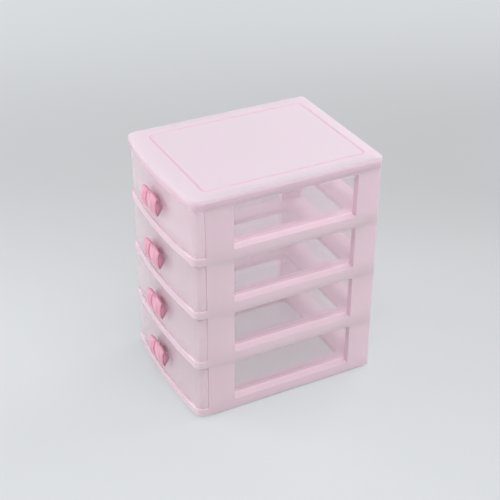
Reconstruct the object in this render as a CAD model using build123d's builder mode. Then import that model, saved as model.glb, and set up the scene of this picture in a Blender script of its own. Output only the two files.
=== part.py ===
"""Four-tier desktop jewellery organizer: stacking frames, clear drawers with bow knobs, and a top cover.

Millimetres, +Z up, front towards -Y. The origin is under the middle of the whole object, on the table.
Inside this file a plan's own y = 0 is the front edge of the side walls.
"""
import os
from math import sqrt
from build123d import *

os.makedirs("parts", exist_ok=True)

# Overall sizes
tiers = 4
body_width = 132.0         # across the side walls
side_depth = 158.0         # side walls, front edge to back edge
tier_height = 50.0         # from one tier's shoulder to the next
wall = 2.0                 # moulded wall of the frames and the cover

# Bowed front of the frames, in plan
front_reach = 14.2         # middle of the front lip, ahead of the side walls
front_bow = 4.5            # how far the front bulges over the body's width
front_corner = 7.5         # plan radius of the front corners
back_corner = 1.6          # plan radius of the back corners
least_round = 0.5          # smallest corner radius of an inner outline

# Tier frame
lip_height = 7.4           # front lip, over the shoulder
lip_round = 0.9            # softened edges of the front lip
sill_height = 9.0          # top of the floor ring, over the shoulder
header = 1.6               # strip of wall above a window
front_post = 24.0          # side wall ahead of the window
rear_post = 22.0           # side wall behind the window
window_corner = 1.5
jamb_depth = 6.0           # flanges of the posts, from the outer face inwards
ring_side = 16.0           # floor strip beside the opening, from the outer face
ring_front = 24.0          # floor strip in front of the opening, from the wall's front edge
ring_rear = 22.0           # floor strip behind the opening
ring_corner = 6.0
ring_lip = 3.0             # stiffening lip that hangs round the opening
rim_height = 2.6           # locating rim under each frame and under the cover
rim_end = 3.0              # how far the rim stops short of the wall's ends
stack_clearance = 0.2      # rim to wall, and flange tops to rim

# Top cover
cover_height = 9.4
cover_edge = 3.9           # height of the overhanging edge
overhang = 1.0
cover_back_corner = 4.5
top_round = 1.1
edge_round = 0.8
groove_side = 11.6         # groove's middle line, in from the side walls
groove_front = 4.0         # groove's middle line, behind the wall's front edge
groove_back = 9.4          # groove's middle line, ahead of the wall's back edge
groove_width = 2.4
groove_depth = 0.7
groove_corner = 4.5

# Drawer
drawer_wall = 2.0
tray_wall = 1.8
front_inset = 1.2          # drawer front, behind the lip's face
side_inset = 0.5           # drawer front's side returns, in from the side walls
running_gap = 0.3          # drawer over the floor ring and the lip
seat_gap = 0.3             # drawer front to the raised floor behind it
return_gap = 0.6           # side returns to the posts
head_gap = 0.7             # drawer front to the lip or apron above
side_gap = 0.6             # tray to the posts' flanges
tray_depth = 150.0         # tray's back, behind the wall's front edge
tray_height = 33.0         # tray walls, over the running gap
tray_draft = 0.7           # how far the tray draws in from its rim to its floor
tray_corner = 6.0
front_round = 0.6          # softened rims of the drawer front
keel_round = 1.4           # rounded edge round the tray's floor

# Bow knob and its screw
knob_level = 30.3          # knob's middle, over the tier's shoulder
bow_waist = 2.0            # where a wing starts, out from the middle
bow_waist_half = 8.2       # half height of a wing at the knot
bow_waist_brow = 3.4       # wing's top and bottom edges at the knot, ahead of the drawer front
bow_waist_front = 5.2      # wing's face at the knot, ahead of the drawer front
bow_swell = 8.0            # fullest part of a wing, out from the middle
bow_swell_half = 9.6
bow_swell_brow = 4.2
bow_swell_front = 9.2
bow_half = 14.5            # end of a wing, out from the middle
bow_end_half = 7.6
bow_end_brow = 3.4
bow_end_front = 5.4
bow_tail_half = 2.0        # half height of a wing's back edge
bow_back_gap = 0.5         # wing's back edge to the drawer front
bow_round = 0.6            # softened corners of a wing's section
bow_end_round = 0.5        # softened end of a wing
knot_width = 6.4
knot_half = 6.6            # half height of the knot
knot_depth = 7.0           # knot's face, ahead of the drawer front
knot_round = 2.0
peg_diameter = 5.0
peg_clearance = 0.2
peg_short = 0.3            # peg's end, short of the drawer front's inner face
screw_diameter = 2.4
screw_bite = 5.0           # thread inside the peg
screw_clearance = 0.05
screw_head = 7.4
screw_head_height = 1.8
screw_head_round = 0.8
screw_slot = 0.9           # width of the driver's cross
screw_slot_depth = 1.0
head_seat = 0.05           # screw head to the drawer front

# Worked-out places
half_width = body_width / 2
arc_radius = (half_width ** 2 + front_bow ** 2) / (2 * front_bow)
arc_centre = arc_radius - front_reach                  # y of the front arc's centre
knob_face = -front_reach + front_inset                 # drawer front's face at the middle
front_end = -knob_face + max(bow_swell_front, knot_depth)    # foremost point, ahead of the wall's front edge
back_end = side_depth + overhang
wall_front = (front_end - back_end) / 2                # centres the whole object over the origin
groove_radius = (groove_width ** 2 / 4 + groove_depth ** 2) / (2 * groove_depth)
window_top = tier_height - header
flange_top = tier_height - rim_height - stack_clearance
drawer_seat = front_inset + drawer_wall + seat_gap     # raised floor, behind the lip's face
tray_half = half_width - jamb_depth - side_gap
tray_floor = sill_height + running_gap
front_bottom = lip_height + running_gap
front_height = tier_height - head_gap - front_bottom


def deck(level):
    """Level plane whose y = 0 is the front edge of the side walls."""
    return Plane((0, wall_front, level))


def plan(level, front, side, back, rear_radius=0.0):
    """Bowed plan of the body: front and side are insets from the lip and the walls, back is its rear line."""
    half = half_width - side
    shoulder = arc_centre - sqrt((arc_radius - front) ** 2 - half ** 2)
    with BuildSketch(deck(level)) as sketch:
        with BuildLine():
            Polyline((-half, shoulder), (-half, back), (half, back), (half, shoulder))
            ThreePointArc((half, shoulder), (0, front - front_reach), (-half, shoulder))
        make_face()
        fillet(sketch.vertices().group_by(Axis.Y)[0], max(front_corner - max(front, side), least_round))
        if rear_radius > 0:
            fillet(sketch.vertices().group_by(Axis.Y)[-1], rear_radius)
    return sketch.sketch


def block(level, x_low, x_high, y_low, y_high, corner=0.0):
    """Level rectangle between two x and two y lines, with rounded corners if asked."""
    with BuildSketch(deck(level)) as sketch:
        with Locations(((x_low + x_high) / 2, (y_low + y_high) / 2)):
            Rectangle(x_high - x_low, y_high - y_low)
        if corner > 0:
            fillet(sketch.vertices(), corner)
    return sketch.sketch


def side_rim(side, base, top):
    """Locating rim inside one wall: a strip that hangs below base and is tied to the wall above it."""
    outer = half_width - wall
    lower = sorted((side * (outer - stack_clearance), side * (outer - stack_clearance - wall)))
    upper = sorted((side * outer, side * (outer - stack_clearance - wall)))
    with BuildPart() as rim:
        extrude(block(base - rim_height, *lower, rim_end, side_depth - rim_end), amount=rim_height)
        extrude(block(base, *upper, rim_end, side_depth - rim_end), amount=top - base)
    return rim.part


def tier_frame(base):
    """One stacking frame: floor ring with its front lip, two windowed side walls, and the rims below."""
    plate = base + sill_height - wall
    opening = (ring_side - half_width, half_width - ring_side, ring_front, side_depth - ring_rear)
    with BuildPart() as frame:
        # Floor ring: lip, raised floor and skirt, hollow from below
        extrude(plan(base, 0, 0, side_depth), amount=lip_height)
        fillet(frame.edges().group_by(Axis.Z)[0] + frame.edges().group_by(Axis.Z)[-1], lip_round)
        extrude(plan(base, drawer_seat, drawer_seat, side_depth), amount=sill_height)
        extrude(block(base, -half_width, half_width, 0, side_depth), amount=sill_height)
        extrude(plan(base, wall, wall, side_depth - wall), amount=lip_height - wall, mode=Mode.SUBTRACT)
        extrude(plan(base, drawer_seat + wall, drawer_seat + wall, side_depth - wall),
                amount=sill_height - wall, mode=Mode.SUBTRACT)
        extrude(block(base, wall - half_width, half_width - wall, wall, side_depth - wall),
                amount=sill_height - wall, mode=Mode.SUBTRACT)
        # Opening in the floor, with its hanging lip
        around = (opening[0] - wall, opening[1] + wall, opening[2] - wall, opening[3] + wall)
        extrude(block(plate - ring_lip, *around, ring_corner + wall), amount=ring_lip)
        extrude(block(plate - ring_lip, *opening, ring_corner), amount=ring_lip + wall, mode=Mode.SUBTRACT)
        # Side walls, and the flanges that make a channel of each post
        for side in (-1, 1):
            skin = sorted((side * half_width, side * (half_width - wall)))
            flange = sorted((side * half_width, side * (half_width - jamb_depth)))
            extrude(block(base, *skin, 0, side_depth), amount=tier_height)
            for y in (0, front_post - wall, side_depth - rear_post, side_depth - wall):
                extrude(block(plate, *flange, y, y + wall), amount=flange_top - sill_height + wall)
            add(side_rim(side, base, plate))
        # One window through both side walls
        with BuildSketch(Plane((0, wall_front, base), x_dir=(0, 1, 0), z_dir=(1, 0, 0))) as window:
            with Locations(((front_post + side_depth - rear_post) / 2, (sill_height + window_top) / 2)):
                Rectangle(side_depth - rear_post - front_post, window_top - sill_height)
            fillet(window.vertices().group_by(Axis.Z)[-1], window_corner)
        extrude(amount=body_width, both=True, mode=Mode.SUBTRACT)
        rear_edges = frame.edges().filter_by(Axis.Z).group_by(Axis.Y)[-1]
        fillet(rear_edges.sort_by(lambda edge: abs(edge.center().X))[-2:], back_corner)
    return frame.part


def top_cover(base):
    """Cover: skirt and apron over the top tier, overhanging rounded edge, and a grooved border on top."""
    top = base + cover_height
    with BuildPart() as cover:
        extrude(plan(base, 0, 0, side_depth, back_corner), amount=cover_height - cover_edge)
        extrude(plan(top - cover_edge, -overhang, -overhang, back_end, cover_back_corner), amount=cover_edge)
        fillet(cover.edges().group_by(Axis.Z)[-1], top_round)
        fillet(cover.faces().filter_by(Axis.Z).group_by(Axis.Z)[1].sort_by(Axis.Z)[0].outer_wire().edges(),
               edge_round)
        extrude(plan(base, wall, wall, side_depth - wall), amount=cover_height - wall, mode=Mode.SUBTRACT)
        # Shallow round-bottomed groove that follows the border
        border = block(top, groove_side - half_width, half_width - groove_side, groove_front,
                       side_depth - groove_back, groove_corner).wires()[0]
        start = (border @ 0) + Vector(0, 0, groove_radius - groove_depth)
        with BuildSketch(Plane(start, z_dir=border % 0)):
            Circle(groove_radius)
        sweep(path=border, mode=Mode.SUBTRACT)
        for side in (-1, 1):
            add(side_rim(side, base, top - wall))
    return cover.part


def tray_plan(level, draft, skin):
    """Tray outline at one level: draft draws its sides and back in, skin is the wall left outside it."""
    front = front_inset + (drawer_wall if skin > 0 else drawer_wall / 2)
    side = half_width - tray_half + skin
    return plan(level, front, side + draft, tray_depth - skin - draft, tray_corner - skin)


def facing(base, ahead=0.0):
    """Upright plane on the knob's axis, ahead of the drawer front's face: x across, y up, z to the front."""
    return Plane((0, wall_front + knob_face - ahead, base + knob_level), x_dir=(1, 0, 0), z_dir=(0, -1, 0))


def drawer_tray(base):
    """Clear drawer: a drafted tray behind a bowed front whose ends turn back towards the posts."""
    floor = base + tray_floor
    mouth = floor + tray_height
    bottom = base + front_bottom
    inner_front = front_inset + drawer_wall
    inner_side = side_inset + drawer_wall
    with BuildPart() as drawer:
        extrude(plan(bottom, front_inset, side_inset, -return_gap), amount=front_height)
        extrude(plan(bottom, inner_front, inner_side, 0), amount=front_height, mode=Mode.SUBTRACT)
        fillet(drawer.edges().group_by(Axis.Z)[0] + drawer.edges().group_by(Axis.Z)[-1], front_round)
        loft([tray_plan(floor, tray_draft, 0), tray_plan(mouth, 0, 0)], ruled=True)
        keel = drawer.edges().filter_by_position(Axis.Z, floor - running_gap / 2, floor + running_gap / 2)
        fillet(keel.filter_by(lambda edge: edge.center().Y > wall_front), keel_round)
        loft([tray_plan(floor + tray_wall, tray_draft, tray_wall), tray_plan(mouth, 0, tray_wall)],
             ruled=True, mode=Mode.SUBTRACT)
        with BuildSketch(facing(base)):
            Circle(peg_diameter / 2 + peg_clearance)
        extrude(amount=2 * drawer_wall, both=True, mode=Mode.SUBTRACT)
    return drawer.part


def across(base, out):
    """Upright plane across a wing, out from the knob's middle: x is the height off the drawer front."""
    return Plane((out, wall_front + knob_face, base + knob_level), x_dir=(0, -1, 0), z_dir=(1, 0, 0))


def wing_section(base, out, half, brow, front):
    """Section across a bow wing: a bulging face between two brows, narrowing to an edge at the drawer front."""
    with BuildSketch(across(base, out)) as section:
        with BuildLine():
            ThreePointArc((brow, -half), (front, 0), (brow, half))
            Polyline((brow, half), (bow_back_gap, bow_tail_half), (bow_back_gap, -bow_tail_half), (brow, -half))
        make_face()
        fillet(section.vertices(), bow_round)
    return section.sketch


def bow_knob(base):
    """Bow knob: two plump wings, a rounded knot in the valley between them, and a peg for its screw."""
    with BuildPart() as wing:
        loft([wing_section(base, bow_waist, bow_waist_half, bow_waist_brow, bow_waist_front),
              wing_section(base, bow_swell, bow_swell_half, bow_swell_brow, bow_swell_front),
              wing_section(base, bow_half, bow_end_half, bow_end_brow, bow_end_front)])
        fillet(wing.faces().sort_by(Axis.X)[-1].edges(), bow_end_round)
    with BuildPart() as bow:
        with BuildSketch(facing(base)):
            RectangleRounded(knot_width, 2 * knot_half, knot_round)
        extrude(amount=knot_depth)
        fillet(bow.faces().sort_by(Axis.Y)[0].edges(), knot_round)
        add(wing.part)
        mirror(wing.part, about=Plane.YZ)
        with BuildSketch(facing(base)):
            Circle(peg_diameter / 2)
        extrude(amount=peg_short - drawer_wall)
        with BuildSketch(facing(base, peg_short - drawer_wall)):
            Circle(screw_diameter / 2 + screw_clearance)
        extrude(amount=screw_bite + screw_diameter, mode=Mode.SUBTRACT)
    return bow.part


def knob_screw(base):
    """Pan-head screw from inside the drawer front into the knob's peg."""
    seat = -drawer_wall - head_seat
    with BuildPart() as screw:
        with BuildSketch(facing(base, seat)):
            Circle(screw_head / 2)
        extrude(amount=-screw_head_height)
        fillet(screw.faces().sort_by(Axis.Y)[-1].edges(), screw_head_round)
        with BuildSketch(facing(base, seat)):
            Circle(screw_diameter / 2)
        extrude(amount=screw_bite + peg_short)
        with BuildSketch(facing(base, seat - screw_head_height)):
            Rectangle(screw_head / 2, screw_slot)
            Rectangle(screw_slot, screw_head / 2)
        extrude(amount=screw_slot_depth, mode=Mode.SUBTRACT)
    return screw.part


def write(piece, label, rise=0.0):
    """Writes a copy of a piece, raised to its tier, under its own label."""
    with BuildPart() as placed:
        with Locations((0, 0, rise)):
            add(piece)
    placed.part.label = label
    export_step(placed.part, f"parts/{label}.step")


makers = {"tier_frame": tier_frame, "drawer_tray": drawer_tray, "bow_knob": bow_knob, "knob_screw": knob_screw}
for name, maker in makers.items():
    master = maker(rim_height)
    for tier in range(tiers):
        write(master, f"{name}_{tier + 1}", tier * tier_height)
write(top_cover(rim_height + tiers * tier_height), "top_cover")
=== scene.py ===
# %% [markdown]
# # A four-tier jewellery organizer in plastic
# The organizer is a stack of pale pink frames under a grooved cover, with four clear drawers that slide
# out at the front. Each drawer is pulled by a small rose-pink bow. The solids come from the CAD model,
# so they already stand in the right place, in metres. This lesson gives them their finishes, and makes
# the bows again as fine folded surfaces.

# %% Load the frame
from math import pi, radians

import bmesh
import bpy
import numpy as np
from mathutils import Matrix, Vector


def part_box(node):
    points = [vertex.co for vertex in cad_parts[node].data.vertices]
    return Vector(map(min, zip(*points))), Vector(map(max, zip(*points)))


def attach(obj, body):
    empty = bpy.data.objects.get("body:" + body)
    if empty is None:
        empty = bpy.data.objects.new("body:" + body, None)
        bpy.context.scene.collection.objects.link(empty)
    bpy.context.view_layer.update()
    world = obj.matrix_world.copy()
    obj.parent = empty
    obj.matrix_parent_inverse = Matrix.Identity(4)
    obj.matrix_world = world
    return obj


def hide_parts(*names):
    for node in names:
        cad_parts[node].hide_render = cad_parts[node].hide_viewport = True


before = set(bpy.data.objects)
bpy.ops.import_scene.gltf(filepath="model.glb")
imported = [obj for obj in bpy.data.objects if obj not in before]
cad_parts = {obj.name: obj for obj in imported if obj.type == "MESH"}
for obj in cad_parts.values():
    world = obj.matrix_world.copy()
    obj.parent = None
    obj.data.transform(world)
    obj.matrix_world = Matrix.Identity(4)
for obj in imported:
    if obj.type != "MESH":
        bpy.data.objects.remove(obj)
scene = bpy.context.scene
millimetre = 0.001
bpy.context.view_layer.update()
tiers = sum(name.startswith("tier_frame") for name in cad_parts)

# %% [markdown]
# ## The camera
# The picture looks down on the right-hand front corner. A camera could be aimed with a tracking
# constraint, but three turns say the same thing plainly: lean up from the ground, turn towards the
# side, and a very small roll. The order matters, because each turn is made about the axes that the one
# before it left. The Standard view transform shows colours as they are written.

# %% Camera
view_azimuth = radians(62.77)      # turned from straight ahead towards the right-hand side
view_elevation = radians(31.93)    # looking down
view_roll = radians(0.17)
camera_place = Vector((0.7364, -0.3754, 0.6268))
lens_length = 81.06                # millimetres, on a 36 mm sensor

lens = bpy.data.cameras.new("camera")
lens.lens = lens_length
camera = bpy.data.objects.new("camera", lens)
turn = (Matrix.Rotation(view_azimuth, 4, "Z") @ Matrix.Rotation(pi / 2 - view_elevation, 4, "X")
        @ Matrix.Rotation(view_roll, 4, "Z"))
camera.matrix_world = Matrix.Translation(camera_place) @ turn
scene.collection.objects.link(camera)
scene.camera = camera
scene.view_settings.view_transform = "Standard"
scene.cycles.transparent_max_bounces = 48   # rays cross many thin clear walls
scene.cycles.diffuse_bounces = 8            # and light wanders between the pale walls inside
print(f"camera {camera_place.length:.2f} m from the middle of the base")

# %% [markdown]
# ## Shader sums as plain expressions
# Blender's materials are graphs of small nodes. Linking them by hand hides the sums that they do, so
# one class wraps a socket and turns `+ - * **` into Math nodes. Every other kind of node comes from its
# `node` method, which takes the node's settings and what goes into its sockets.

# %% Socket class
class Sum:
    """A socket of a shader graph. Arithmetic on it adds Math nodes, and node() adds any other node."""

    def __init__(self, tree, socket=None):
        self.tree = tree
        self.socket = socket

    def node(self, kind, settings=None, out=0, **inputs):
        """Adds a node: its settings first, then its inputs, set or linked. _ in a name is a space."""
        made = self.tree.nodes.new(kind)
        for name, value in (settings or {}).items():
            setattr(made, name, value)
        for name, value in inputs.items():
            place = int(name[1:]) if name[1:].isdigit() else name.replace("_", " ")
            if isinstance(value, Sum):
                self.tree.links.new(value.socket, made.inputs[place])
            else:
                made.inputs[place].default_value = value
        return Sum(self.tree, made.outputs[out] if len(made.outputs) else None)

    def math(self, operation, first, second=0.0):
        return self.node("ShaderNodeMath", {"operation": operation}, i0=first, i1=second)

    def __add__(self, other):
        return self.math("ADD", self, other)

    def __sub__(self, other):
        return self.math("SUBTRACT", self, other)

    def __rsub__(self, other):
        return self.math("SUBTRACT", other, self)

    def __mul__(self, other):
        return self.math("MULTIPLY", self, other)

    def __pow__(self, other):
        return self.math("POWER", self, other)

    __radd__ = __add__
    __rmul__ = __mul__


print("sums of sockets become Math nodes")

# %% [markdown]
# ## What every finish needs
# A few small helpers keep the finishes short: an empty material, its output, a mix of two colours, the
# place of a point on its piece, and a soft noise. The noise and the place read Object coordinates,
# which stay on a piece when its drawer moves.

# %% Helpers for finishes
def new_material(name):
    """An empty material and the start of its shader graph."""
    material = bpy.data.materials.new(name)
    material.use_nodes = True
    material.node_tree.nodes.clear()
    return material, Sum(material.node_tree)


def finish(graph, surface):
    """Links a shader to the material's output."""
    graph.node("ShaderNodeOutputMaterial", Surface=surface)


def mix_colour(graph, factor, first, second):
    """One colour into another by a factor."""
    return graph.node("ShaderNodeMix", {"data_type": "RGBA"}, out=2, i0=factor, i6=first, i7=second)


def place_on(graph, ways):
    """The X, Y or Z of a point on its piece, one value for each letter."""
    place = graph.node("ShaderNodeTexCoord", out="Object")
    return [graph.node("ShaderNodeSeparateXYZ", out=way, Vector=place) for way in ways]


def grain(graph, scale, detail=2.0):
    """Soft noise from 0 to 1 over the object, with this many patches to a metre."""
    place = graph.node("ShaderNodeTexCoord", out="Object")
    return graph.node("ShaderNodeTexNoise", out=0, Vector=place, Scale=scale, Detail=detail)


def within(graph, value, middle, reach):
    """One where a value is no further than reach from the middle, and zero elsewhere."""
    return graph.node("ShaderNodeMath", {"operation": "COMPARE"}, i0=value, i1=middle, i2=reach)


print("helpers for finishes ready")

# %% [markdown]
# ## The sheet
# The object stands on a seamless pale sheet. A large plane is enough for it. Painted shade makes the sheet
# greyer in a band behind the object, where a real one starts to curve up, and towards the right. A painted
# picture could hold those greys, but two sums do it too: a bell across the band, and a slope to the right
# that levels out. Part of the tone glows as emission, painted light that keeps the shadow soft. The
# camera, and what mirrors the sheet, see the greys through Light Path's switches. All other rays meet a
# plain white sheet, so the greys don't change the light on the object.

# %% Tone and painted shade of the sheet
band_way = (-0.889, 0.4575)        # level direction in which the camera looks
band_place = 0.38                  # metres behind the middle of the object
band_near, band_far = 0.28, 0.42   # metres, how far the band spreads to either side
right_end = 0.45                   # metres, where the slope to the right levels out
# painted shade: the band and the slope to the right take pale away from the sheet's tone
pale_share, band_shade_share, right_shade_share, mottle_share = 0.62, 0.56, 0.42, 0.06
mottle_patches = 3.0               # to a metre


def sheet_tone_and_shade(graph):
    """The share of pale: painted shade as a bell across the band and a slope to the right, with a faint
    mottle.
    """
    across, along = place_on(graph, "XY")
    from_band = band_way[0] * across + band_way[1] * along - band_place
    spread = (graph.math("MAXIMUM", from_band) * (1.0 / band_far)
              + graph.math("MINIMUM", from_band) * (1.0 / band_near))
    bell = graph.math("EXPONENT", -1.0 * spread * spread)
    to_right = graph.math("MINIMUM", band_way[1] * across - band_way[0] * along, right_end)
    mottle = grain(graph, mottle_patches)
    return pale_share - band_shade_share * bell - right_shade_share * to_right + mottle_share * mottle


print(f"grey band {band_place} m behind the middle of the object")

# %% Sheet
sheet_pale = (0.775, 0.80, 0.82, 1.0)
sheet_shade_grey = (0.495, 0.505, 0.52, 1.0)
sheet_white = (0.90, 0.90, 0.90, 1.0)
# painted light: a share of the floor's tone glows as emission, so it shows in any light
emission_glow_share = 0.65                  # how much of the tone shows in any light, which keeps the shadow soft
sheet_half = 3.0                   # metres


def seen_directly(graph):
    """One where a camera, mirrored or refracted ray arrives, and zero for the light of the scene."""
    switches = [graph.node("ShaderNodeLightPath", out=name)
                for name in ("Is Camera Ray", "Is Glossy Ray", "Is Transmission Ray")]
    return graph.math("MINIMUM", switches[0] + switches[1] + switches[2], 1.0)


def sheet_material():
    """Matt paper from grey to pale by its tone and painted shade for the eye, partly glowing as emission,
    and plain white for the light of the scene.
    """
    material, graph = new_material("pale_sheet")
    colour = mix_colour(graph, sheet_tone_and_shade(graph), sheet_shade_grey, sheet_pale)
    shaded = graph.node("ShaderNodeBsdfDiffuse", Color=colour)
    even = graph.node("ShaderNodeEmission", Color=colour)
    shown = graph.node("ShaderNodeMixShader", i0=emission_glow_share, i1=shaded, i2=even)
    bounce = graph.node("ShaderNodeBsdfDiffuse", Color=sheet_white)
    finish(graph, graph.node("ShaderNodeMixShader", i0=seen_directly(graph), i1=bounce, i2=shown))
    return material


def build_mesh(name, points, faces):
    """A mesh object at the origin from an array of points and an array of faces."""
    mesh = bpy.data.meshes.new(name)
    mesh.from_pydata(points.reshape(-1, 3).tolist(), [], faces.tolist())
    mesh.update()
    made = bpy.data.objects.new(name, mesh)
    scene.collection.objects.link(made)
    return made


corners = np.array([(-1, -1, 0), (1, -1, 0), (1, 1, 0), (-1, 1, 0)]) * sheet_half
floor = build_mesh("pale_floor", corners, np.arange(4).reshape(1, 4))
floor.data.materials.append(sheet_material())
print(f"floor {2 * sheet_half:.0f} m across")

# %% [markdown]
# ## The light
# The light is soft studio light. One bright dome would be simplest, but it lights every side alike, and
# on the real object the fronts, the cover and the insides differ. So four broad lamps do most of the
# lighting, and a faint even sky fills the shadows. A low key lamp at the front left lights the drawer
# fronts. A high lamp on the right shines down through the cover and in at the windows, a lamp at the
# back shines in through the open back, and a faint one lays a sheen on the cover. The two low lamps are
# kept out of mirrored rays, because they would burn out the cover where it mirrors them.

# %% Sky
sky_white = (1.0, 1.0, 1.0, 1.0)
sky_strength = 0.20

world = bpy.data.worlds.new("soft_sky")
world.use_nodes = True
world.node_tree.nodes.clear()
sky = Sum(world.node_tree)
lit = sky.node("ShaderNodeBackground", Color=sky_white, Strength=sky_strength)
shown = sky.node("ShaderNodeBackground", Color=sheet_pale, Strength=1.0)
sky.node("ShaderNodeOutputWorld", Surface=sky.node(
    "ShaderNodeMixShader", i0=seen_directly(sky), i1=lit, i2=shown))
scene.world = world
print(f"sky at {sky_strength}")

# %% Lamps
lamps = {"key_lamp": (Vector((-0.8, -1.4, 0.6)), 1.2, 22.5),       # place, size and watts
         "high_lamp": (Vector((0.7, 0.0, 1.5)), 1.2, 17.0),
         "back_lamp": (Vector((-0.2, 1.5, 0.9)), 1.6, 26.0),
         "shine_lamp": (Vector((-1.15, 0.6, 0.85)), 1.3, 1.6)}
unmirrored = ("key_lamp", "back_lamp")

for name, (place, size, watts) in lamps.items():
    lamp = bpy.data.objects.new(name, bpy.data.lights.new(name, "AREA"))
    lamp.data.size = size
    lamp.data.energy = watts
    lamp.location = place
    lamp.rotation_euler = (-place).to_track_quat("-Z", "Y").to_euler()
    lamp.visible_glossy = name not in unmirrored
    scene.collection.objects.link(lamp)
print(f"{len(lamps)} lamps, {len(unmirrored)} of them out of mirrored rays")

# %% [markdown]
# ## Painted light and shade on the frames and the cover
# The top of the cover is painted a little paler than the frames, as painted light, and its groove pinker,
# as painted shade. The faces of the frames that look up are painted pinker, and pass on less of the light,
# the strips that the drawers run on least of all, which is painted light too. These could be material
# slots on faces, but the CAD meshes stay as they are. So masks worked out from the place and the
# direction of a face say where each of these is.

# %% Masks on the cover
cover_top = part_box("top_cover")[1].z
groove_depth, groove_middle, groove_reach = 0.0007, 0.0079, (0.0558, 0.0737)   # metres


def cover_shares(graph):
    """Two masks on the cover, by place: its top face, and its groove, by the depth below the flat top."""
    across, along, rise = place_on(graph, "XYZ")
    on_top = graph.math("GREATER_THAN", rise, cover_top - 2 * groove_depth)
    depth = graph.node("ShaderNodeMath", {"operation": "MULTIPLY", "use_clamp": True},
                       i0=cover_top - rise, i1=1.0 / groove_depth)
    inside = (within(graph, across, 0.0, groove_reach[0])
              * within(graph, along, groove_middle, groove_reach[1]))
    return on_top, depth * on_top * inside


print(f"the cover's top is at {cover_top / millimetre:.0f} mm")

# %% Masks on the frames
runner_middle, runner_half = 0.0547, 0.0048      # metres, out from the middle of the frame


def floor_shares(graph):
    """Two masks on the frames: faces that look up, and of those the strips that the drawers run on."""
    across = graph.math("ABSOLUTE", place_on(graph, "X")[0])
    normal = graph.node("ShaderNodeNewGeometry", out="Normal")
    level = graph.math("MAXIMUM", graph.node("ShaderNodeSeparateXYZ", out="Z", Vector=normal))
    return level, within(graph, across, runner_middle, runner_half) * level


print(f"runners {2 * runner_half / millimetre:.1f} mm wide")

# %% [markdown]
# ## Pale pink plastic
# The frames and the cover are moulded in a pale pink that lets some light through, so the walls glow a
# little where light falls on their far side. Subsurface scattering could do that, but over thin walls
# it blurs the edges and darkens the joints. A share of Translucent in the mix passes the light on and
# keeps the edges crisp. A flat colour would look like paper, so three small things are added: a slow
# drift of the tint, as the pigment is never mixed quite evenly, a roughness that drifts with it, and
# the very fine pebble that a spark-eroded mould leaves, as bump. Each tint goes into the near side as a
# colour and into the far side as a shader.

# %% Tints of the pink plastic
pink_tint = (0.89, 0.765, 0.825, 1.0)
pink_deep = (0.88, 0.75, 0.81, 1.0)
# painted light: a paler tint on the top face of the cover
cover_top_painted_light = (0.855, 0.81, 0.846, 1.0)
# painted shade: a darker, pinker tint in the groove
groove_painted_shade = (0.90, 0.68, 0.78, 1.0)
# painted light: a pinker tint on the faces of the frames that look up
floor_painted_light_tint = (0.905, 0.755, 0.82, 1.0)


def tinted_sides(graph, base, layers):
    """The near side's colour and the far side's shader: a base tint, and masked tints over it."""
    colour, far = base, graph.node("ShaderNodeBsdfTranslucent", Color=base)
    for mask, tint in layers:
        colour = mix_colour(graph, mask, colour, tint)
        over = graph.node("ShaderNodeBsdfTranslucent", Color=tint)
        far = graph.node("ShaderNodeMixShader", i0=mask, i1=far, i2=over)
    return colour, far


print("two tints for the pink plastic, and one each for the cover's top, the groove and the floors")

# %% Pink plastic
pink_glow, cover_glow = 0.38, 0.56     # shares of the light that are passed on to the far side
# painted light: the faces that look up, and the runners most, pass on less light and so look brighter
floor_painted_light_hold, runner_painted_light_hold = 0.15, 0.9    # how much of it the floor strips and their runners keep back
tint_patches = 14.0                    # to a metre
pebble_patches, pebble_detail = 2200.0, 1.0
pebble_strength, pebble_height = 0.04, 0.0002
pink_rough, pink_rough_drift = 0.26, 0.10
pink_coat, pink_coat_rough = 0.4, 0.12


def pink_plastic(name, glow):
    """Satin moulded plastic: a drifting tint, drifting gloss and a fine pebble."""
    material, graph = new_material(name)
    drift = grain(graph, tint_patches)
    pebble = grain(graph, pebble_patches, pebble_detail)
    skin = graph.node("ShaderNodeBump", Strength=pebble_strength, Distance=pebble_height, Height=pebble)
    # The cover's top gets painted light and its groove painted shade.
    if name == "cover_plastic":
        on_top, in_groove = cover_shares(graph)
        layers = [(on_top, cover_top_painted_light), (in_groove, groove_painted_shade)]
        passed = glow
    else:
        # Faces that look up get painted light: a pinker tint, and less light passed on.
        on_floor, on_runner = floor_shares(graph)
        layers = [(on_floor, floor_painted_light_tint)]
        passed = glow * (1.0 - floor_painted_light_hold * on_floor - runner_painted_light_hold * on_runner)
    colour, far = tinted_sides(graph, pink_tint, [(drift, pink_deep), *layers])
    near = graph.node("ShaderNodeBsdfPrincipled", Base_Color=colour, Normal=skin,
                      Roughness=pink_rough + pink_rough_drift * drift,
                      Coat_Weight=pink_coat, Coat_Roughness=pink_coat_rough)
    finish(graph, graph.node("ShaderNodeMixShader", i0=passed, i1=near, i2=far))
    return material


print(f"pink plastic passes on {pink_glow:.0%} of the light, the cover {cover_glow:.0%}")

# %% [markdown]
# ## Clear plastic
# The drawers are moulded in clear plastic, with fronts that are slightly milky. Glass shading would
# bend the light at each face of every wall, but walls this thin hardly shift what is seen through them,
# and bent light leaves the inside dark. So the plastic is made of plain shaders: one that lets
# everything through, a little haze that scatters light forwards and back, more of it on the front
# panel, and a mirror that grows where the plastic is seen edge on, as on any gloss.

# %% Clear plastic
clear_tint = (0.99, 0.985, 0.988, 1.0)
haze_tint = (0.96, 0.885, 0.918, 1.0)
wall_haze, front_haze = 0.13, 0.41
haze_forward = 0.5                 # share of the haze that goes on through the wall
front_plane = -0.0687              # metres, where the front panel starts
mirror_least, mirror_power = 0.04, 5.0
edge_blend = 0.5                   # Layer Weight's own setting for a plain slope
gloss_patches = 30.0               # to a metre
clear_rough, clear_rough_drift = 0.05, 0.05


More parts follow.
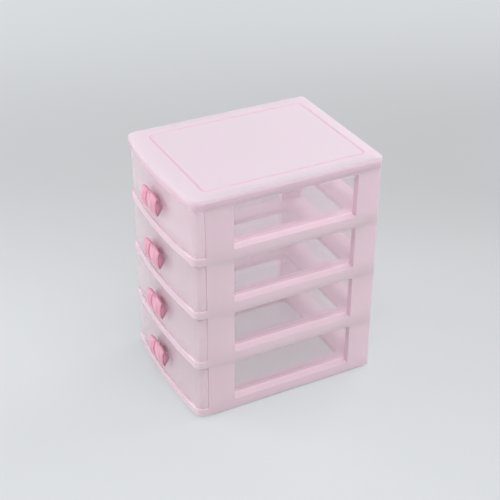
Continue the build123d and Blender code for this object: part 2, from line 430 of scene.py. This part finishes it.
def clear_plastic():
    """Clear moulded plastic whose haze steps up on the front panel, with a slightly uneven gloss."""
    material, graph = new_material("clear_plastic")
    on_front = graph.math("LESS_THAN", place_on(graph, "Y")[0], front_plane)
    share = wall_haze + (front_haze - wall_haze) * on_front
    through = graph.node("ShaderNodeBsdfTransparent", Color=clear_tint)
    near = graph.node("ShaderNodeBsdfDiffuse", Color=haze_tint)
    far = graph.node("ShaderNodeBsdfTranslucent", Color=haze_tint)
    haze = graph.node("ShaderNodeMixShader", i0=haze_forward, i1=near, i2=far)
    body = graph.node("ShaderNodeMixShader", i0=share, i1=through, i2=haze)
    edge_on = graph.node("ShaderNodeLayerWeight", out="Facing", Blend=edge_blend)
    mirror = mirror_least + (1.0 - mirror_least) * edge_on ** mirror_power
    rough = clear_rough + clear_rough_drift * grain(graph, gloss_patches)
    gloss = graph.node("ShaderNodeBsdfGlossy", Roughness=rough)
    finish(graph, graph.node("ShaderNodeMixShader", i0=mirror, i1=body, i2=gloss))
    return material


print(f"clear plastic: {wall_haze:.0%} haze on the walls, {front_haze:.0%} on the fronts")

# %% [markdown]
# ## Rose plastic and steel
# The bows are a deeper pink with a gloss coat over a soft body. Their shade could come from the light
# alone, but such small folds catch little of it, so an attribute on the points of a bow paints shade into
# its folds. The screws that hold the bows are plated steel, with the fine marks that turning leaves on
# their heads.

# %% Rose plastic
rose_tint = (0.74, 0.385, 0.49, 1.0)
# painted shade in the folds, and random patches, both mix the tint towards this
rose_shade_and_patch = (0.50, 0.16, 0.25, 1.0)
rose_patches, rose_patch_share = 220.0, 0.10
rose_rough, rose_rough_drift = 0.30, 0.12
rose_coat, rose_coat_rough = 0.25, 0.15


def rose_plastic():
    """Glossy pigmented plastic with painted shade in the folds, and a tint that deepens a little in
    patches.
    """
    material, graph = new_material("rose_plastic")
    drift = grain(graph, rose_patches)
    painted_fold_shade = graph.node("ShaderNodeAttribute", {"attribute_name": "painted_fold_shade"}, out="Fac")
    colour = mix_colour(graph, painted_fold_shade + rose_patch_share * drift, rose_tint, rose_shade_and_patch)
    finish(graph, graph.node(
        "ShaderNodeBsdfPrincipled", Base_Color=colour, Roughness=rose_rough + rose_rough_drift * drift,
        Coat_Weight=rose_coat, Coat_Roughness=rose_coat_rough))
    return material


print(f"rose plastic with a {rose_coat:.0%} coat")

# %% Plated steel
steel_tint = (0.62, 0.62, 0.63, 1.0)
mark_patches = 3000.0              # to a metre
steel_rough, steel_rough_drift = 0.22, 0.2


def plated_steel():
    """Bright metal with fine turned marks."""
    material, graph = new_material("plated_steel")
    rough = steel_rough + steel_rough_drift * grain(graph, mark_patches)
    finish(graph, graph.node(
        "ShaderNodeBsdfPrincipled", Base_Color=steel_tint, Metallic=1.0, Roughness=rough))
    return material


print(f"steel from {steel_rough:.2f} rough")

# %% [markdown]
# ## Finishes on the solids
# Each CAD solid has one material slot, and its name says what it is: `tier_frame_2` is the second of
# four alike. The slots could be filled by hand, but a table from the kind of piece to its finish does
# all of them at once.

# %% Finishes on the solids
finishes = {"tier_frame": pink_plastic("pink_plastic", pink_glow),
            "top_cover": pink_plastic("cover_plastic", cover_glow),
            "drawer_tray": clear_plastic(), "bow_knob": rose_plastic(), "knob_screw": plated_steel()}
for name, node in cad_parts.items():
    kind = name if name in finishes else name.rsplit("_", 1)[0]
    node.data.materials.clear()
    node.data.materials.append(finishes[kind])
print(f"{len(finishes)} finishes on {len(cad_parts)} solids")

# %% [markdown]
# ## The wings of a bow
# Each drawer is pulled by a small moulded bow: two plump wings that swell between the knot and their
# ends, with soft folds across them, and a rounded knot in the valley between. It could be sculpted, but
# its shape is easy to say in numbers. A section across a wing is a half ellipse at the front and two
# flanks that run back to a narrow tail at the drawer, and three measures of that section change along
# the bow. Carrying the section from end to end gives the wings as one tube. All measures of the bow are
# in millimetres.

# %% Measures along a bow
bow_half, bow_swell = 14.5, 8.0              # out from the middle: the end, and the fullest part
waist = {"half": 7.8, "brow": 3.3, "front": 4.9}    # half height, edge and face, ahead of the drawer front
swell = {"half": 9.4, "brow": 4.2, "front": 8.8}
tip = {"half": 7.6, "brow": 5.0, "front": 6.3}


def along_bow(out, measure):
    """A measure at distances out from the middle: it falls by squares from swell to waist and to tip."""
    share = np.abs(out)
    inner = (1 - np.minimum(share / bow_swell, 1)) ** 2
    outer = (np.maximum(share - bow_swell, 0) / (bow_half - bow_swell)) ** 2
    return (swell[measure] + inner * (waist[measure] - swell[measure])
            + outer * (tip[measure] - swell[measure]))


print(f"bow {2 * bow_half:.0f} mm wide, {2 * swell['half']:.1f} mm high at its fullest")

# %% Folds and pleats
fold_pitch, fold_depth, fold_bend = 4.3, 0.42, 0.02     # soft folds across a wing, bent by the height
fold_start, fold_rise, fold_fall = 3.5, 3.0, 2.5        # where they start, and how they fade in and out
pleat_place, pleat_width = 0.36, 0.12                   # pleats by the knot: shares of the half height
pleat_depth, pleat_middle, pleat_reach = 0.55, 3.0, 3.6     # how deep, and where along the wing


def fold_wave(span, up):
    """Soft folds across a wing: a cosine along it, bent by the height squared, that fades at both ends."""
    fade = np.clip((span - fold_start) / fold_rise, 0, 1) * np.clip((bow_half - span) / fold_fall, 0, 1)
    return fade * np.cos(2 * pi * (span + fold_bend * up ** 2) / fold_pitch)


def pleat_dip(span, rise):
    """A dip at one share of the height by the knot: a bell over the height times one along the wing."""
    over_height = np.exp(-((np.abs(rise) - pleat_place) / pleat_width) ** 2)
    return over_height * np.exp(-((span - pleat_middle) / pleat_reach) ** 2)


print(f"folds {fold_pitch} mm apart and {2 * fold_depth:.2f} mm deep")

# %% Sections across a bow
tail_half, tail_gap = 1.2, 0.5               # back edge: half height, and distance from the drawer front
front_points, flank_points, softenings = 41, 9, 2


def bow_sections(out):
    """Closed sections at distances out, in ahead and up: a half ellipse, two flanks and a tail."""
    half, brow, front = [along_bow(out, measure)[:, None] for measure in ("half", "brow", "front")]
    turn = np.linspace(-pi / 2, pi / 2, front_points)
    span = np.abs(out)[:, None]
    up = half * np.sin(turn)
    ahead = (brow + (front - brow) * np.cos(turn) + fold_depth * fold_wave(span, up) * np.cos(turn)
             - pleat_depth * pleat_dip(span, np.sin(turn)))
    back = np.linspace(0, 1, flank_points + 1)[1:]
    flank_up = half + (tail_half - half) * back
    flank_ahead = brow + (tail_gap - brow) * back
    up = np.hstack([up, flank_up, 0 * half, -flank_up[:, ::-1]])
    ahead = np.hstack([ahead, flank_ahead, 0 * half + tail_gap, flank_ahead[:, ::-1]])
    for _ in range(softenings):
        up, ahead = [(np.roll(v, 1, 1) + 2 * v + np.roll(v, -1, 1)) / 4 for v in (up, ahead)]
    return ahead, up


print(f"{front_points + 2 * flank_points + 1} points round a section")

# %% Wings as one tube
end_round, wing_sections = 0.6, 91
# How much of the section is left at an end, and how far in: the edge is rounded and the end is dished.
end_share = np.array([0.985, 0.955, 0.90, 0.75, 0.5, 0.2, 0.0])
end_depth = np.array([0.2, 0.0, 0.05, 0.4, 0.75, 0.95, 1.0])

run = np.linspace(end_round - bow_half, bow_half - end_round, wing_sections)
out = np.concatenate([(end_depth - bow_half)[::-1], run, bow_half - end_depth])
share = np.concatenate([end_share[::-1], np.ones_like(run), end_share])[:, None]
ahead, up = bow_sections(np.clip(out, run[0], run[-1]))
middle = ahead.mean(1, keepdims=True)
wings = np.stack([np.broadcast_to(out[:, None], ahead.shape),
                  middle + share * (ahead - middle), share * up], -1)
print(f"wings: {wings.shape[0]} sections of {wings.shape[1]} points")

# %% [markdown]
# ## Knot, peg and bore
# The knot is a rounded box. A superellipsoid gives it: the sines and cosines of a sphere, raised to a
# power below one, which pushes the surface out towards the box. Two shallow creases run down its face.
# The peg behind it and the bore for the screw are turned shapes, a profile carried round an axis.

# %% Knot
knot_size = np.array([3.2, 3.4, 6.5])        # half width, half depth and half height
knot_ahead = 3.6                             # middle of the knot, ahead of the drawer front
knot_power = 0.42
knot_rows, knot_columns = 33, 48
crease_depth, crease_place, crease_width, crease_from = 0.28, 1.1, 0.4, 2.0


def squared(wave):
    """A sine or cosine, pushed out towards a square wave."""
    return np.sign(wave) * np.abs(wave) ** knot_power


lean = np.linspace(-pi / 2, pi / 2, knot_rows)[:, None]
angle = np.linspace(0, 2 * pi, knot_columns, endpoint=False)
ring = squared(np.cos(lean))
knot = np.stack([ring * squared(np.cos(angle)), ring * squared(np.sin(angle)),
                 squared(np.sin(lean)) + 0 * angle], -1) * knot_size
crease = np.exp(-((np.abs(knot[..., 0]) - crease_place) / crease_width) ** 2)
knot[..., 1] += knot_ahead - crease_depth * crease * (knot[..., 1] > crease_from)
print(f"knot {2 * knot_size[0]:.1f} mm wide and {2 * knot_size[2]:.1f} mm high")

# %% Peg and bore
peg_profile = np.array([(0, 1.6), (2.5, 1.6), (2.5, -1.4), (2.2, -1.7), (0, -1.7)])    # radius, ahead
bore_profile = np.array([(0, 5.6), (1.25, 4.9), (1.25, -2.4), (0, -2.4)])
turned_points = 40


def turned(profile):
    """A profile of radius and distance ahead, carried round the axis."""
    angle = np.linspace(0, 2 * pi, turned_points, endpoint=False)
    radius, ahead = profile[:, 0, None], profile[:, 1, None]
    return np.stack([radius * np.cos(angle), ahead + 0 * angle, radius * np.sin(angle)], -1)


print(f"peg {2 * peg_profile[:, 0].max():.1f} mm thick, bore {2 * bore_profile[:, 0].max():.1f} mm")

# %% [markdown]
# ## One clean solid
# The wings, the knot and the peg are closed shells that run into each other. They could stay so, but
# then hidden faces would lie inside the bow, and the bore would have nothing to cut. Boolean modifiers
# weld them, so that each bow is one clean solid with a bore for its screw.

# %% Closed shells
bow_reach = 9.2                              # the CAD knob's foremost point, ahead of the drawer front
sewing_gap = 1e-7                            # metres
low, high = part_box("bow_knob_1")
bow_place = (0, low.y + bow_reach * millimetre, (low.z + high.z) / 2)    # on the drawer front


def closed_shell(name, grid):
    """A closed shell from a grid of points in out, ahead and up: rows run along it, columns round it."""
    rows, columns = grid.shape[:2]
    row, column = np.meshgrid(np.arange(rows - 1), np.arange(columns), indexing="ij")
    after = (column + 1) % columns
    faces = np.stack([row * columns + column, row * columns + after, (row + 1) * columns + after,
                      (row + 1) * columns + column], -1).reshape(-1, 4)
    points = np.stack([grid[..., 0], -grid[..., 1], grid[..., 2]], -1) * millimetre + bow_place
    shell = build_mesh(name, points, faces)
    sewn = bmesh.new()
    sewn.from_mesh(shell.data)
    bmesh.ops.remove_doubles(sewn, verts=sewn.verts, dist=sewing_gap)
    bmesh.ops.recalc_face_normals(sewn, faces=sewn.faces)
    sewn.to_mesh(shell.data)
    sewn.free()
    return shell


wing_shell, knot_shell = closed_shell("wings", wings), closed_shell("knot", knot)
peg_shell, bore_shell = [closed_shell(name, turned(profile))
                         for name, profile in (("peg", peg_profile), ("bore", bore_profile))]
print(f"shells of {[len(s.data.polygons) for s in (wing_shell, knot_shell, peg_shell, bore_shell)]} faces")

# %% Weld
sharp_angle = radians(42)


def welded(base, steps):
    """One mesh from a base shell and the shells added to it or cut from it, which are then removed."""
    for shell, operation in steps:
        weld = base.modifiers.new(operation, "BOOLEAN")
        weld.object, weld.operation, weld.solver = shell, operation, "EXACT"
    mesh = bpy.data.meshes.new_from_object(base.evaluated_get(bpy.context.evaluated_depsgraph_get()))
    for shell in (base, *[shell for shell, operation in steps]):
        bpy.data.objects.remove(shell)
    return mesh


bow_mesh = welded(wing_shell, [(knot_shell, "UNION"), (peg_shell, "UNION"), (bore_shell, "DIFFERENCE")])
bow_mesh.shade_smooth()
bow_mesh.set_sharp_from_angle(angle=sharp_angle)
bow_mesh.materials.clear()
bow_mesh.materials.append(finishes["bow_knob"])
print(f"one bow of {len(bow_mesh.polygons)} faces")

# %% [markdown]
# ## Painted shade in the folds
# In the folds of a real bow the pink looks deeper, because light reaches them only after several bounces.
# This is painted shade: a darker picture could be painted on, but the formulas of the shape already know
# where the folds, ends, rims, flanks and the valley by the knot are. They give each point of the welded
# mesh a number, kept as an attribute, and the rose plastic deepens its tint by it.

# %% Painted shade attribute
# painted shade on the ends, rims, flanks, valley and creases of a bow
end_tone, end_inset, end_blur = 0.85, 0.9, 0.4      # for each part: how deep, where, and how it fades
rim_tone, rim_blur = 0.8, 0.06
flank_tone, flank_blur = 0.5, 0.8
valley_tone, valley_gap, valley_blur = 0.9, 0.3, 0.6
crease_tone = 0.3


def painted_shade_share(out, ahead, up):
    """How much painted shade a point gets: the most that its end, rim, flank, valley or crease gives."""
    ends = end_tone * np.clip((out - bow_half + end_inset) / end_blur, 0, 1)
    rims = rim_tone * np.exp(-((up / along_bow(out, "half") - 1) / rim_blur) ** 2)
    flanks = flank_tone * np.clip((along_bow(out, "brow") - ahead) / flank_blur, 0, 1)
    valley = valley_tone * np.exp(-((out - knot_size[0] - valley_gap) / valley_blur) ** 2)
    creases = crease_tone * np.clip(-fold_wave(out, up), 0, 1)
    return np.max([ends, rims, flanks, valley, creases], axis=0)


points = np.empty(3 * len(bow_mesh.vertices))
bow_mesh.vertices.foreach_get("co", points)
out, ahead, up = ((points.reshape(-1, 3) - bow_place) / millimetre * (1, -1, 1)).T
depths = painted_shade_share(np.abs(out), ahead, np.abs(up))
painted_fold_shade = bow_mesh.attributes.new("painted_fold_shade", "FLOAT", "POINT")
painted_fold_shade.data.foreach_set("value", depths)
print(f"folds from {depths.min():.2f} to {depths.max():.2f}")

# %% [markdown]
# ## Bows on their drawers
# The four bows are alike. A copy of the mesh is moved up to each drawer, with its object left at the
# origin, as the CAD solids are. Each bow stands for the plain CAD knob, and goes out with its drawer.

# %% Bows on their drawers
for tier in range(1, tiers + 1):
    mesh = bow_mesh.copy()
    mesh.transform(Matrix.Translation((0, 0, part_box(f"bow_knob_{tier}")[0].z - low.z)))
    bow = bpy.data.objects.new(f"ribbon_bow_{tier}", mesh)
    scene.collection.objects.link(bow)
    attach(bow, f"drawer_{tier}")
    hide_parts(f"bow_knob_{tier}")
print(f"{tiers} bows on their drawers")
